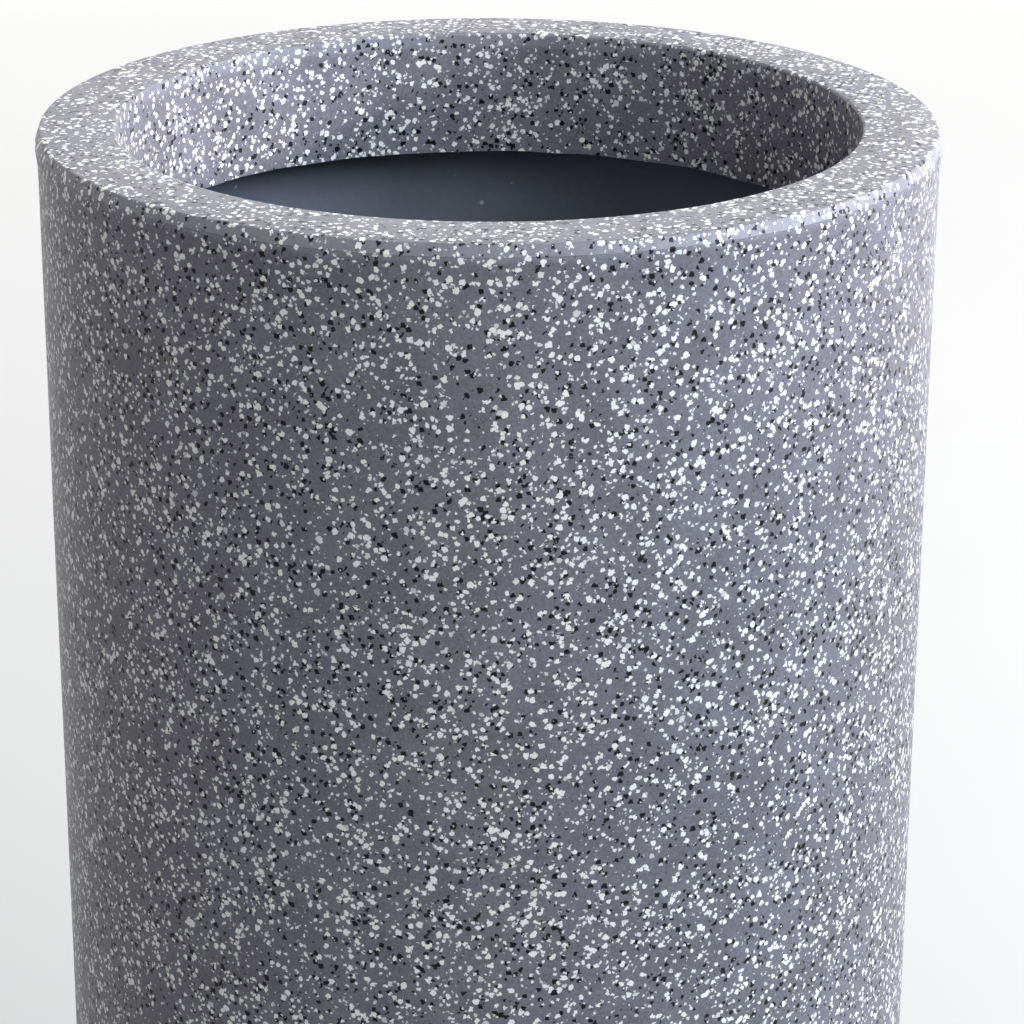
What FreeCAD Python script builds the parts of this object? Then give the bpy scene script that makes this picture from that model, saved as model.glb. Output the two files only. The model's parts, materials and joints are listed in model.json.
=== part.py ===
import FreeCAD, Part
import math
import os

Vector = FreeCAD.Vector

# Shell: one hollow moulding with a round wall, a flat rim and a lip turned down inside the mouth
planter_height = 800.0
rim_diameter = 400.0
rim_width = 35.0
rim_flare = 1.1
flare_height = 30.0
shell_wall = 5.0
rim_edge_round = 4.4
mouth_edge_round = 1.5
lip_depth = 59.0
rim_hollow_round_share = 0.26
base_edge_round = 14.0

# Feet: rubber pads screwed into threaded inserts that are moulded into bosses on the base
foot_count = 4
foot_top_diameter = 42.0
foot_bottom_diameter = 36.0
foot_inset = 48.0
foot_edge_round = 1.5
foot_web = 5.0
screw_diameter = 6.0
screw_hole_clearance = 0.3
screw_head_diameter = 11.0
screw_head_height = 4.0
screw_head_clearance = 1.2
screw_head_recess = 5.0
screw_socket_across = 4.0
screw_socket_depth = 2.4
screw_end_gap = 4.0
hexagon_sides = 6
thread_insert_diameter = 10.0
thread_insert_length = 15.0
thread_insert_groove_depth = 1.0
thread_insert_groove_width = 3.0
thread_insert_clearance = 0.05
boss_wall = 7.0
boss_roof = 5.0

# Drain: a push-in plug under the base with a flat seal washer
drain_bore_diameter = 28.0
drain_boss_wall = 8.0
drain_boss_height = 14.0
plug_clearance = 0.1
plug_wall = 3.0
plug_nose_share = 0.6
plug_flange_overhang = 9.0
plug_flange_thickness = 2.5
plug_floor_gap_share = 0.3
plug_tab_length = 30.0
plug_tab_width = 5.0
seal_thickness = 2.0
seal_rim_step = 2.0
seal_clearance = 0.3

# Inner pot: drops in through the mouth and stands on the stand's shelf
pot_mouth_gap = 9.0
pot_drop = 112.0
pot_height = 318.0
pot_wall = 3.0
pot_taper = 9.0
pot_flange_width = 12.0
pot_flange_thickness = 4.0
pot_skirt_height = 14.0
pot_skirt_wall = 2.5
pot_base_thickness = 4.0
pot_base_lift = 3.0
pot_foot_ring = 7.0
pot_foot_round = 4.0
pot_hole_count = 8
pot_hole_diameter = 12.0
pot_hole_circle_share = 0.66

# Lifting handles: two wire hoops that lie on the pot's rim and swing up on pins
handle_wire_diameter = 6.0
handle_pivot_spacing = 28.0
handle_eye_shoulder = 1.0
handle_rest_gap = 0.4
handle_side_gap = 0.4
ear_thickness = 5.0
pin_diameter = 5.0
pin_running_clearance = 0.1
pin_seat_clearance = 0.05
pin_head_diameter = 9.0
pin_head_height = 2.0
pin_end_recess = 0.5
grip_diameter = 12.0
grip_bore_clearance = 0.05
grip_length = 100.0

# Stand: a perforated shelf on four tube legs with rubber end caps
leg_count = 4
leg_diameter = 32.0
leg_wall = 2.4
leg_clearance = 0.1
shelf_thickness = 8.0
shelf_margin = 3.0
shelf_ring_width = 4.0
shelf_ring_height = 6.0
shelf_ring_clearance = 1.5
shelf_edge_round = 2.0
shelf_finger_hole_diameter = 40.0
shelf_hole_count = 12
shelf_hole_diameter = 16.0
shelf_hole_circle_share = 0.5
socket_depth = 26.0
socket_wall = 3.5
socket_inset = 12.0
cap_wall = 3.0
cap_floor = 4.0
cap_height = 22.0
cap_edge_round = 1.5

# How far a cutting tool runs past the face it cuts
overrun = 1.0

# Places that follow from the sizes above
rim_radius = rim_diameter / 2
wall_radius = rim_radius - rim_flare
mouth_radius = rim_radius - rim_width
foot_height = screw_head_recess + screw_head_height + foot_web
base_bottom = foot_height
base_top = base_bottom + shell_wall

foot_circle = wall_radius - foot_inset
screw_head_bottom = screw_head_recess
screw_head_top = screw_head_bottom + screw_head_height
thread_insert_top = base_bottom + thread_insert_length

drain_bore_radius = drain_bore_diameter / 2
drain_boss_top = base_bottom + drain_boss_height
plug_flange_radius = drain_bore_radius + plug_flange_overhang
seal_bottom = base_bottom - seal_thickness

pot_rim_radius = mouth_radius - pot_mouth_gap
pot_wall_radius = pot_rim_radius - pot_flange_width + pot_wall
pot_foot_radius = pot_wall_radius - pot_taper
pot_top = planter_height - pot_drop
pot_bottom = pot_top - pot_height
pot_floor_bottom = pot_bottom + pot_base_lift
pot_floor_top = pot_floor_bottom + pot_base_thickness

wire_radius = handle_wire_diameter / 2
eye_radius = grip_diameter / 2
eye_width = handle_wire_diameter + 2 * handle_eye_shoulder
pivot_height = pot_top + eye_radius + handle_rest_gap
pivot_offset = handle_pivot_spacing / 2
ear_outer = math.sqrt(pot_rim_radius**2 - pivot_offset**2)
ear_inner = ear_outer - ear_thickness
eye_outer = ear_inner - handle_side_gap
eye_inner = eye_outer - eye_width
hoop_radius = math.hypot((eye_outer + eye_inner) / 2, pivot_offset)

leg_radius = leg_diameter / 2
leg_bore = leg_radius + leg_clearance
socket_radius = leg_bore + socket_wall
shelf_ring_radius = pot_foot_radius + shelf_ring_clearance
shelf_radius = shelf_ring_radius + shelf_ring_width + shelf_margin
shelf_bottom = pot_bottom - shelf_thickness
leg_circle = shelf_radius - socket_inset - socket_radius
leg_bottom = base_top + cap_floor

up = Vector(0, 0, 1)
sideways = Vector(1, 0, 0)
full_turn = 360.0
half_turn = 180.0


def place(radius, height):
    """A point of a half section, at a radius from the axis and a height."""
    return Vector(radius, 0, height)


def round_to(centre, radius, first_degrees, last_degrees):
    """The way point and the end of an arc in a half section."""
    ends = []
    for degrees in ((first_degrees + last_degrees) / 2, last_degrees):
        turn = math.radians(degrees)
        ends.append(centre + Vector(radius * math.cos(turn), 0, radius * math.sin(turn)))
    return tuple(ends)


def flare_middle(low, high):
    """The way point of an arc that leaves its low end straight up and leans out to its high end."""
    rise = high.z - low.z
    lean = high.x - low.x
    radius = (rise**2 + lean**2) / (2 * lean)
    turn = math.asin(rise / radius) / 2
    return low + Vector(radius - radius * math.cos(turn), 0, radius * math.sin(turn))


def revolved(start, steps):
    """A solid turned about the upright axis. A step is a point for a straight side,
    or a way point and an end for a round one."""
    edges = []
    here = start
    for step in steps + [start]:
        if isinstance(step, tuple):
            edges.append(Part.Arc(here, *step).toShape())
            here = step[-1]
        else:
            edges.append(Part.LineSegment(here, step).toShape())
            here = step
    return Part.Face(Part.Wire(edges)).revolve(Vector(), up, full_turn)


def rod(radius, bottom, top):
    """An upright cylinder on the axis, between two heights."""
    return Part.makeCylinder(radius, top - bottom, Vector(0, 0, bottom))


def crossbar(radius, start, end, across, height):
    """A cylinder along X, between two places on that axis."""
    return Part.makeCylinder(radius, end - start, Vector(start, across, height), sideways)


def around(circle_radius, count, first_degrees=0.0):
    """Evenly spaced places on a circle about the axis."""
    places = []
    for index in range(count):
        turn = math.radians(first_degrees + full_turn * index / count)
        places.append(Vector(circle_radius * math.cos(turn), circle_radius * math.sin(turn), 0))
    return places


def copies(shape, places):
    """The shape moved to each place."""
    return [shape.translated(spot) for spot in places]


def turned_back(shape):
    """The shape turned half round the upright axis."""
    turned = shape.copy()
    turned.rotate(Vector(), up, half_turn)
    return turned


foot_places = around(foot_circle, foot_count, half_turn / foot_count)
leg_places = around(leg_circle, leg_count)


def make_shell():
    top = planter_height
    lip_back = mouth_radius + shell_wall
    inner_wall = wall_radius - shell_wall
    flare_low = place(wall_radius, top - flare_height)
    flare_high = place(rim_radius, top - rim_edge_round)
    hollow_top = top - shell_wall
    hollow_width = rim_width - 2 * shell_wall
    hollow_round = rim_hollow_round_share * hollow_width
    hollow_side = hollow_top - hollow_round
    inner_low = place(inner_wall, top - flare_height)
    inner_high = place(rim_radius - shell_wall, hollow_side)
    base_round = place(wall_radius - base_edge_round, base_bottom + base_edge_round)
    rim_round = place(rim_radius - rim_edge_round, top - rim_edge_round)
    mouth_round = place(mouth_radius + mouth_edge_round, top - mouth_edge_round)
    hollow_in = place(lip_back + hollow_round, hollow_side)
    hollow_out = place(inner_high.x - hollow_round, hollow_side)
    drain_boss_radius = drain_bore_radius + drain_boss_wall
    shell = revolved(
        place(drain_bore_radius, base_bottom),
        [
            place(base_round.x, base_bottom),
            round_to(base_round, base_edge_round, -90, 0),
            flare_low,
            (flare_middle(flare_low, flare_high), flare_high),
            round_to(rim_round, rim_edge_round, 0, 90),
            place(mouth_round.x, top),
            round_to(mouth_round, mouth_edge_round, 90, 180),
            place(mouth_radius, top - lip_depth),
            place(lip_back, top - lip_depth),
            place(lip_back, hollow_side),
            round_to(hollow_in, hollow_round, 180, 90),
            place(hollow_out.x, hollow_top),
            round_to(hollow_out, hollow_round, 90, 0),
            (flare_middle(inner_low, inner_high), inner_low),
            place(inner_wall, base_round.z),
            round_to(base_round, base_edge_round - shell_wall, 0, -90),
            place(drain_boss_radius, base_top),
            place(drain_boss_radius, drain_boss_top),
            place(drain_bore_radius, drain_boss_top),
        ],
    )
    insert_seat_radius = thread_insert_diameter / 2 + thread_insert_clearance
    boss = rod(insert_seat_radius + boss_wall, base_bottom, thread_insert_top + boss_roof)
    seat = rod(insert_seat_radius, base_bottom - overrun, thread_insert_top + thread_insert_clearance)
    shell = shell.fuse(copies(boss, foot_places))
    return shell.cut(copies(seat, foot_places)).removeSplitter()


def make_foot_pad():
    top_radius = foot_top_diameter / 2
    bottom_radius = foot_bottom_diameter / 2
    well_radius = screw_head_diameter / 2 + screw_head_clearance
    hole_radius = screw_diameter / 2 + screw_hole_clearance
    pad = revolved(
        place(well_radius, 0),
        [
            place(bottom_radius, 0),
            place(top_radius, foot_height),
            place(hole_radius, foot_height),
            place(hole_radius, screw_head_top),
            place(well_radius, screw_head_top),
        ],
    )
    circles = [edge for edge in pad.Edges if isinstance(edge.Curve, Part.Circle)]
    rims = [edge for edge in circles if edge.Curve.Radius > well_radius + foot_edge_round]
    return pad.makeFillet(foot_edge_round, rims)


def make_foot_screw():
    head_radius = screw_head_diameter / 2
    shank_radius = screw_diameter / 2
    shank_top = thread_insert_top - screw_end_gap
    crown_round = screw_head_height / 2
    crown = place(head_radius - crown_round, screw_head_top - crown_round)
    screw = revolved(
        place(0, screw_head_bottom),
        [
            place(crown.x, screw_head_bottom),
            round_to(crown, crown_round, -90, 0),
            place(head_radius, screw_head_top),
            place(shank_radius, screw_head_top),
            place(shank_radius, shank_top),
            place(0, shank_top),
        ],
    )
    corner_radius = screw_socket_across / math.sqrt(3)
    corners = around(corner_radius, hexagon_sides)
    outline = Part.makePolygon(corners + corners[:1])
    socket = Part.Face(outline).extrude(up * (screw_socket_depth + overrun))
    return screw.cut(socket.translated(up * (screw_head_bottom - overrun)))


def make_thread_insert():
    outer = thread_insert_diameter / 2
    bore = screw_diameter / 2 + thread_insert_clearance
    groove = outer - thread_insert_groove_depth
    groove_bottom = base_bottom + (thread_insert_length - thread_insert_groove_width) / 2
    groove_top = groove_bottom + thread_insert_groove_width
    return revolved(
        place(bore, base_bottom),
        [
            place(outer, base_bottom),
            place(outer, groove_bottom),
            place(groove, groove_bottom),
            place(groove, groove_top),
            place(outer, groove_top),
            place(outer, thread_insert_top),
            place(bore, thread_insert_top),
        ],
    )


def make_drain_plug():
    shank = drain_bore_radius - plug_clearance
    flange_bottom = seal_bottom - plug_flange_thickness
    nose = plug_nose_share * plug_wall
    plug = revolved(
        place(0, flange_bottom),
        [
            place(plug_flange_radius, flange_bottom),
            place(plug_flange_radius, seal_bottom),
            place(shank, seal_bottom),
            place(shank, drain_boss_top - nose),
            place(shank - nose, drain_boss_top),
            place(shank - plug_wall, drain_boss_top),
            place(shank - plug_wall, seal_bottom),
            place(0, seal_bottom),
        ],
    )
    tab_bottom = plug_floor_gap_share * flange_bottom
    corner = Vector(-plug_tab_length / 2, -plug_tab_width / 2, tab_bottom)
    tab = Part.makeBox(plug_tab_length, plug_tab_width, flange_bottom - tab_bottom, corner)
    return plug.fuse(tab).removeSplitter()


def make_drain_seal():
    washer = rod(plug_flange_radius - seal_rim_step, seal_bottom, base_bottom)
    hole = rod(drain_bore_radius + seal_clearance, seal_bottom - overrun, base_bottom + overrun)
    return washer.cut(hole)


def make_inner_pot():
    flange_bottom = pot_top - pot_flange_thickness
    skirt_bottom = pot_top - pot_skirt_height
    skirt_inner = pot_rim_radius - pot_skirt_wall
    ring_inner = pot_foot_radius - pot_foot_ring
    foot_round = place(pot_foot_radius - pot_foot_round, pot_bottom + pot_foot_round)
    pot = revolved(
        place(0, pot_floor_bottom),
        [
            place(ring_inner, pot_floor_bottom),
            place(ring_inner, pot_bottom),
            place(foot_round.x, pot_bottom),
            round_to(foot_round, pot_foot_round, -90, 0),
            place(pot_wall_radius, flange_bottom),
            place(skirt_inner, flange_bottom),
            place(skirt_inner, skirt_bottom),
            place(pot_rim_radius, skirt_bottom),
            place(pot_rim_radius, pot_top),
            place(pot_wall_radius - pot_wall, pot_top),
            place(pot_foot_radius - pot_wall, pot_floor_top),
            place(0, pot_floor_top),
        ],
    )
    hole = rod(pot_hole_diameter / 2, pot_bottom - overrun, pot_floor_top + overrun)
    hole_circle = pot_hole_circle_share * pot_foot_radius
    pot = pot.cut([hole] + copies(hole, around(hole_circle, pot_hole_count)))
    ear = make_handle_ear()
    pot = pot.fuse([ear, turned_back(ear)])
    hole_radius = pin_diameter / 2 + pin_seat_clearance
    holes = []
    for across in (-pivot_offset, pivot_offset):
        reach = pot_rim_radius + overrun
        drill = crossbar(hole_radius, ear_inner - overrun, reach, across, pivot_height)
        holes += [drill, turned_back(drill)]
    return pot.cut(holes).removeSplitter()


def make_handle_ear():
    """A rounded plate on the pot's rim that holds one pin of each handle."""
    reach = pot_rim_radius - ear_inner
    ear_bottom = pot_top - pot_flange_thickness
    corner = Vector(ear_inner, -pivot_offset, ear_bottom)
    plate = Part.makeBox(reach, handle_pivot_spacing, pivot_height + eye_radius - ear_bottom, corner)
    shoulders = []
    for across in (-pivot_offset, pivot_offset):
        shoulders.append(crossbar(eye_radius, ear_inner, pot_rim_radius, across, pivot_height))
        toe = Vector(ear_inner, across - eye_radius, ear_bottom)
        shoulders.append(Part.makeBox(reach, 2 * eye_radius, pivot_height - ear_bottom, toe))
    whole = plate.fuse(shoulders)
    return whole.common(rod(pot_rim_radius, ear_bottom, pivot_height + eye_radius)).removeSplitter()


def hoop_arc(section, first_degrees, last_degrees):
    """A section at the hoop's radius on +X, swept round the upright axis."""
    start = section.copy()
    start.rotate(Vector(), up, first_degrees)
    return start.revolve(Vector(), up, last_degrees - first_degrees)


def hoop_circle(radius):
    return Part.Wire(Part.Circle(place(hoop_radius, pivot_height), Vector(0, 1, 0), radius).toShape())


def make_front_handle():
    """The hoop on the -Y side: a half ring of wire with an eye at each end."""
    end_degrees = math.degrees(math.asin(pivot_offset / hoop_radius))
    wire = hoop_arc(Part.Face(hoop_circle(wire_radius)), -half_turn + end_degrees, -end_degrees)
    hole_radius = pin_diameter / 2 + pin_running_clearance
    eyes = []
    holes = []
    for start, end in ((eye_inner, eye_outer), (-eye_outer, -eye_inner)):
        eyes.append(crossbar(eye_radius, start, end, -pivot_offset, pivot_height))
        holes.append(crossbar(hole_radius, start - overrun, end + overrun, -pivot_offset, pivot_height))
    return wire.fuse(eyes).cut(holes).removeSplitter()


def make_front_grip():
    half_degrees = math.degrees(grip_length / 2 / hoop_radius)
    bore = hoop_circle(wire_radius + grip_bore_clearance)
    sleeve = Part.Face(hoop_circle(grip_diameter / 2)).cut(Part.Face(bore)).Faces[0]
    return hoop_arc(sleeve, -half_turn / 2 - half_degrees, -half_turn / 2 + half_degrees)


def make_handle_pins():
    """One pin for each end of each handle, pressed into the ears, heads to the inside."""
    head_end = eye_inner - handle_side_gap
    pins = []
    for across in (-pivot_offset, pivot_offset):
        shank = crossbar(pin_diameter / 2, head_end, ear_outer - pin_end_recess, across, pivot_height)
        head = crossbar(pin_head_diameter / 2, head_end - pin_head_height, head_end, across, pivot_height)
        pin = shank.fuse(head).removeSplitter()
        pins += [pin, turned_back(pin)]
    return Part.Compound(pins)


def make_shelf():
    ring_outer = shelf_ring_radius + shelf_ring_width
    ring_top = pot_bottom + shelf_ring_height
    edge = place(shelf_radius - shelf_edge_round, pot_bottom - shelf_edge_round)
    shelf = revolved(
        place(0, shelf_bottom),
        [
            place(shelf_radius, shelf_bottom),
            place(shelf_radius, edge.z),
            round_to(edge, shelf_edge_round, 0, 90),
            place(ring_outer, pot_bottom),
            place(ring_outer, ring_top),
            place(shelf_ring_radius, ring_top),
            place(shelf_ring_radius, pot_bottom),
            place(0, pot_bottom),
        ],
    )
    socket_bottom = shelf_bottom - socket_depth
    socket = rod(socket_radius, socket_bottom, shelf_bottom)
    socket = socket.cut(rod(leg_bore, socket_bottom - overrun, shelf_bottom))
    shelf = shelf.fuse(copies(socket, leg_places))
    hole = rod(shelf_hole_diameter / 2, shelf_bottom - overrun, pot_bottom + overrun)
    hole_circle = shelf_hole_circle_share * leg_circle
    holes = copies(hole, around(hole_circle, shelf_hole_count))
    holes.append(rod(shelf_finger_hole_diameter / 2, shelf_bottom - overrun, pot_bottom + overrun))
    return shelf.cut(holes).removeSplitter()


def make_leg():
    tube = rod(leg_radius, leg_bottom, shelf_bottom)
    return tube.cut(rod(leg_radius - leg_wall, leg_bottom - overrun, shelf_bottom + overrun))


def make_leg_cap():
    outer = leg_bore + cap_wall
    edge = place(outer - cap_edge_round, base_top + cap_edge_round)
    return revolved(
        place(0, base_top),
        [
            place(edge.x, base_top),
            round_to(edge, cap_edge_round, -90, 0),
            place(outer, base_top + cap_height),
            place(leg_bore, base_top + cap_height),
            place(leg_bore, leg_bottom),
            place(0, leg_bottom),
        ],
    )


def numbered(name, shapes):
    """Nodes for repeated pieces, counted from 1."""
    return {f"{name}_{index}": shape for index, shape in enumerate(shapes, 1)}


front_handle = make_front_handle()
front_grip = make_front_grip()

nodes = {
    "shell": make_shell(),
    "foot_screws": Part.Compound(copies(make_foot_screw(), foot_places)),
    "foot_thread_inserts": Part.Compound(copies(make_thread_insert(), foot_places)),
    "drain_plug": make_drain_plug(),
    "drain_seal": make_drain_seal(),
    "stand_shelf": make_shelf(),
    "inner_pot": make_inner_pot(),
    "handle_front": front_handle,
    "handle_back": turned_back(front_handle),
    "handle_grip_front": front_grip,
    "handle_grip_back": turned_back(front_grip),
    "handle_pins": make_handle_pins(),
}
nodes.update(numbered("foot_pad", copies(make_foot_pad(), foot_places)))
nodes.update(numbered("stand_leg", copies(make_leg(), leg_places)))
nodes.update(numbered("stand_leg_cap", copies(make_leg_cap(), leg_places)))

os.makedirs("parts", exist_ok=True)
for name, shape in nodes.items():
    shape.exportStep(f"parts/{name}.step")
    print(f"{name}: {len(shape.Solids)} solids, {shape.Volume / 1000:.1f} cm3, valid {shape.isValid()}")
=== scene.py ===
# %% [markdown]
# # A speckled floor planter
#
# The real object is a tall round floor planter. Its shell is one hollow plastic moulding that imitates
# granite: grey, with white and black chips all through its skin. Inside, a stand on four pipe legs
# carries an inner pot, and the pot has two wire handles, so that it can be lifted out for watering.
#
# The measured model is loaded first and is never moved. Everything made below is placed against it,
# in metres, with Z up and the floor at zero.

# %% Load the measured model
import json
import math

import bmesh
import bpy
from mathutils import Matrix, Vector

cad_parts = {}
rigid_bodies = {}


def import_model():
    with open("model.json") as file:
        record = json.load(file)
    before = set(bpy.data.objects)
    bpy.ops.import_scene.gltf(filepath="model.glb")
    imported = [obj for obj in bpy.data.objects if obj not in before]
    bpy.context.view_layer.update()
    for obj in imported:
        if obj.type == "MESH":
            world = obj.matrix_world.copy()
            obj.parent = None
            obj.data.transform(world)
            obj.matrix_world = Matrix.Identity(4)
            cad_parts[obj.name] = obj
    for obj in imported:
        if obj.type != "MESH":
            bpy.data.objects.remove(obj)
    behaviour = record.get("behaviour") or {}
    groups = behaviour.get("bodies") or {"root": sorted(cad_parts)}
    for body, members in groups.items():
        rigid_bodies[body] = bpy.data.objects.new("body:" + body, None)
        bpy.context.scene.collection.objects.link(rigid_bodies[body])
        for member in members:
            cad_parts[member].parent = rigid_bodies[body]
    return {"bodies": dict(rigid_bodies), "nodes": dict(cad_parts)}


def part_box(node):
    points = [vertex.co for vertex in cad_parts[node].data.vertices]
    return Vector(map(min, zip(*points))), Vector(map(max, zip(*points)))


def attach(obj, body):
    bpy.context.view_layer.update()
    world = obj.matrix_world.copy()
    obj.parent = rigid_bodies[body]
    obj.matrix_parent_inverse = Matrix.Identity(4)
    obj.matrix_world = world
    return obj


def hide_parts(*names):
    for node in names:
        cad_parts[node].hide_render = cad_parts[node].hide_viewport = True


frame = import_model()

nodes = frame["nodes"]
measured = set(nodes.values()) | set(frame["bodies"].values())
for stray in [thing for thing in bpy.data.objects if thing not in measured]:
    bpy.data.objects.remove(stray)
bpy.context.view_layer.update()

# %% [markdown]
# ## One piece at a time
#
# Blender's operators act on everything that is selected, and the measured pieces are selected after
# loading. These helpers clear the selection, open one piece for editing, and pick its vertices, edges
# or faces by their place. A place on a round piece is easiest to say as a radius and a height.

# %% Helpers for picking
mm = 0.001
near = 0.05 * mm


def put_down():
    """Leave edit mode and deselect everything."""
    if bpy.context.mode != "OBJECT":
        bpy.ops.object.mode_set(mode="OBJECT")
    bpy.ops.object.select_all(action="DESELECT")


def take_up(piece):
    """Select this piece alone and make it the active one."""
    put_down()
    piece.select_set(True)
    bpy.context.view_layer.objects.active = piece


def pick(piece, kind, wanted):
    """Open the piece in edit mode with only the wanted vertices, edges or faces selected."""
    take_up(piece)
    bpy.ops.object.mode_set(mode="EDIT")
    bpy.ops.mesh.select_mode(type={"verts": "VERT", "edges": "EDGE", "faces": "FACE"}[kind])
    bpy.ops.mesh.select_all(action="DESELECT")
    mesh = bmesh.from_edit_mesh(piece.data)
    count = 0
    for part in getattr(mesh, kind):
        if wanted(part):
            part.select_set(True)
            count += 1
    mesh.select_flush_mode()
    bmesh.update_edit_mesh(piece.data)
    return count


def out(point):
    """How far a point is from the planter's upright axis."""
    return math.hypot(point[0], point[1])


def on_ring(radius, height):
    """A test for the edges of one ring about the axis."""

    def test(edge):
        return all(abs(out(v.co) - radius) < near and abs(v.co.z - height) < near for v in edge.verts)

    return test


def triangles(piece):
    """How many triangles the faces of a piece make."""
    return sum(len(face.vertices) - 2 for face in piece.data.polygons)


print("Helpers ready, measuring to", near / mm, "mm")

# %% [markdown]
# ## The shell's section
#
# A round moulding is best drawn as half a section: a list of radii and heights that runs up the
# outside, over the rim, down the lip that turns into the mouth, and back down the inside. The wall
# leans out near the top, so the shell is about a millimetre wider there. Five millimetres under the
# flat rim a hair-fine raised line runs round, where the two halves of the mould met. The band above
# that line leans inward by some twenty degrees and catches the light from above.

# %% Sizes of the shell
shell_low, shell_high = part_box("shell")
rim_radius = shell_high.x
rim_top = shell_high.z
base_under = shell_low.z
wall_radius = rim_radius - 1.1 * mm
mouth_radius = rim_radius - 35 * mm
shell_wall = 5 * mm
lip_bottom = rim_top - 59 * mm
flare_bottom = rim_top - 30 * mm
rim_lean = 1.95 * mm
rim_round = 0.9 * mm
widest_height = rim_top - 8.2 * mm
parting_inset = 0.35 * mm
parting_height = rim_top - 5.0 * mm
parting_half_width = 0.35 * mm
parting_proud = 0.16 * mm
base_round = 14 * mm
base_inside = base_under + shell_wall
drain_radius = 14 * mm
drain_boss_radius = 22 * mm
drain_boss_top = 28 * mm
flare_share = 0.25
shell_segments = 256

lip_back = mouth_radius + shell_wall
inner_radius = wall_radius - shell_wall
hollow_top = rim_top - shell_wall
flare_middle = wall_radius + flare_share * (rim_radius - wall_radius)
shell_section = [
    (drain_radius, base_under),
    (wall_radius, base_under),
    (wall_radius, flare_bottom),
    (flare_middle, (flare_bottom + rim_top) / 2),
    (rim_radius, widest_height),
    (rim_radius - parting_inset, parting_height - parting_half_width),
    (rim_radius - parting_inset + parting_proud, parting_height),
    (rim_radius - parting_inset, parting_height + parting_half_width),
    (rim_radius - rim_lean, rim_top),
    (mouth_radius, rim_top),
    (mouth_radius, lip_bottom),
    (lip_back, lip_bottom),
    (lip_back, hollow_top),
    (rim_radius - shell_wall, hollow_top),
    (inner_radius, flare_bottom),
    (inner_radius, base_inside),
    (drain_boss_radius, base_inside),
    (drain_boss_radius, drain_boss_top),
    (drain_radius, drain_boss_top),
]
print("Section points:", len(shell_section))

# %% [markdown]
# ## Turning the shell
#
# One way is a curve with a Screw modifier. Here a single ring of edges is extruded from point to
# point of the section, as a potter raises a wall, because each corner can then be picked and rounded
# by its own amount. The first and the last ring are bridged, which closes the drain hole's wall.

# %% Turn the shell
def turn_section(name, section, segments):
    """A ring at the section's first point, extruded through the others and closed."""
    put_down()
    (radius, height), *steps = section
    bpy.ops.mesh.primitive_circle_add(vertices=segments, radius=radius, location=(0, 0, height))
    piece = bpy.context.object
    piece.name = name
    piece.data.name = name
    bpy.ops.object.transform_apply(location=True, rotation=True, scale=True)
    bpy.ops.object.mode_set(mode="EDIT")
    bpy.ops.mesh.select_mode(type="EDGE")
    bpy.ops.mesh.select_all(action="SELECT")
    for next_radius, next_height in steps:
        bpy.ops.mesh.extrude_region_move(TRANSFORM_OT_translate={"value": (0, 0, next_height - height)})
        share = next_radius / radius
        bpy.ops.transform.resize(value=(share, share, 1), center_override=(0, 0, next_height))
        radius, height = next_radius, next_height
    first_ring, last_ring = on_ring(*section[0]), on_ring(*section[-1])
    pick(piece, "edges", lambda edge: first_ring(edge) or last_ring(edge))
    bpy.ops.mesh.bridge_edge_loops()
    bpy.ops.mesh.select_all(action="SELECT")
    bpy.ops.mesh.normals_make_consistent(inside=False)
    put_down()
    return piece


planter_shell = turn_section("planter_shell", shell_section, shell_segments)
print("Shell faces:", len(planter_shell.data.polygons))

# %% [markdown]
# ## Rounding the corners
#
# Moulded plastic has no sharp corners except where it was trimmed. The base is well rounded, the edges
# of the flat rim are crisper, and the hollow behind the rim is soft. The lip's lower edge was cut off
# after moulding, so it stays sharp.

# %% Round the corners
def round_corners(piece, corners):
    """Bevel rings of edges, each given as a radius, a height, a size and a number of steps."""
    for radius, height, size, steps in corners:
        pick(piece, "edges", on_ring(radius, height))
        bpy.ops.mesh.bevel(offset=size, segments=steps, profile=0.5, affect="EDGES")
    put_down()
    print("Rounded", len(corners), "corners of", piece.name)


def smooth(piece, degrees):
    """Shade softly over every edge that is flatter than the angle."""
    take_up(piece)
    bpy.ops.object.shade_smooth_by_angle(angle=math.radians(degrees))


round_corners(
    planter_shell,
    [
        (wall_radius, base_under, base_round, 8),
        (rim_radius - rim_lean, rim_top, rim_round, 4),
        (mouth_radius, rim_top, 1.5 * mm, 4),
        (lip_back, hollow_top, 6 * mm, 4),
        (rim_radius - shell_wall, hollow_top, 6 * mm, 4),
        (inner_radius, base_inside, base_round - shell_wall, 6),
        (drain_boss_radius, base_inside, 2 * mm, 3),
        (drain_boss_radius, drain_boss_top, 1.5 * mm, 3),
        (drain_radius, drain_boss_top, 1 * mm, 2),
        (drain_radius, base_under, 0.8 * mm, 2),
    ],
)

# %% [markdown]
# ## Bosses for the feet
#
# Four bosses stand up from the inner floor, one over each foot, and each holds a threaded insert. A
# boss is a bar with a rounded top, joined to the floor with a Boolean. A second, thinner bar is then
# taken away from below, which leaves the seat that the insert fills.

# %% Add the bosses and their seats
merge_distance = 0.02 * mm
boss_radius = 12.05 * mm
boss_edge = 1.2 * mm
boss_bottom = base_under + 2 * mm
boss_top = base_under + 20 * mm
seat_radius = 5.05 * mm
seat_top = base_under + 15.05 * mm


def add_bar(name, radius, start, end, segments=48):
    """A round bar between two points, as its own piece."""
    put_down()
    start, end = Vector(start), Vector(end)
    along = end - start
    bpy.ops.mesh.primitive_cylinder_add(
        vertices=segments,
        radius=radius,
        depth=along.length,
        location=(start + end) / 2,
        rotation=along.to_track_quat("Z", "Y").to_euler(),
    )
    bpy.ops.object.transform_apply(location=True, rotation=True, scale=True)
    bpy.context.object.name = name
    return bpy.context.object


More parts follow.
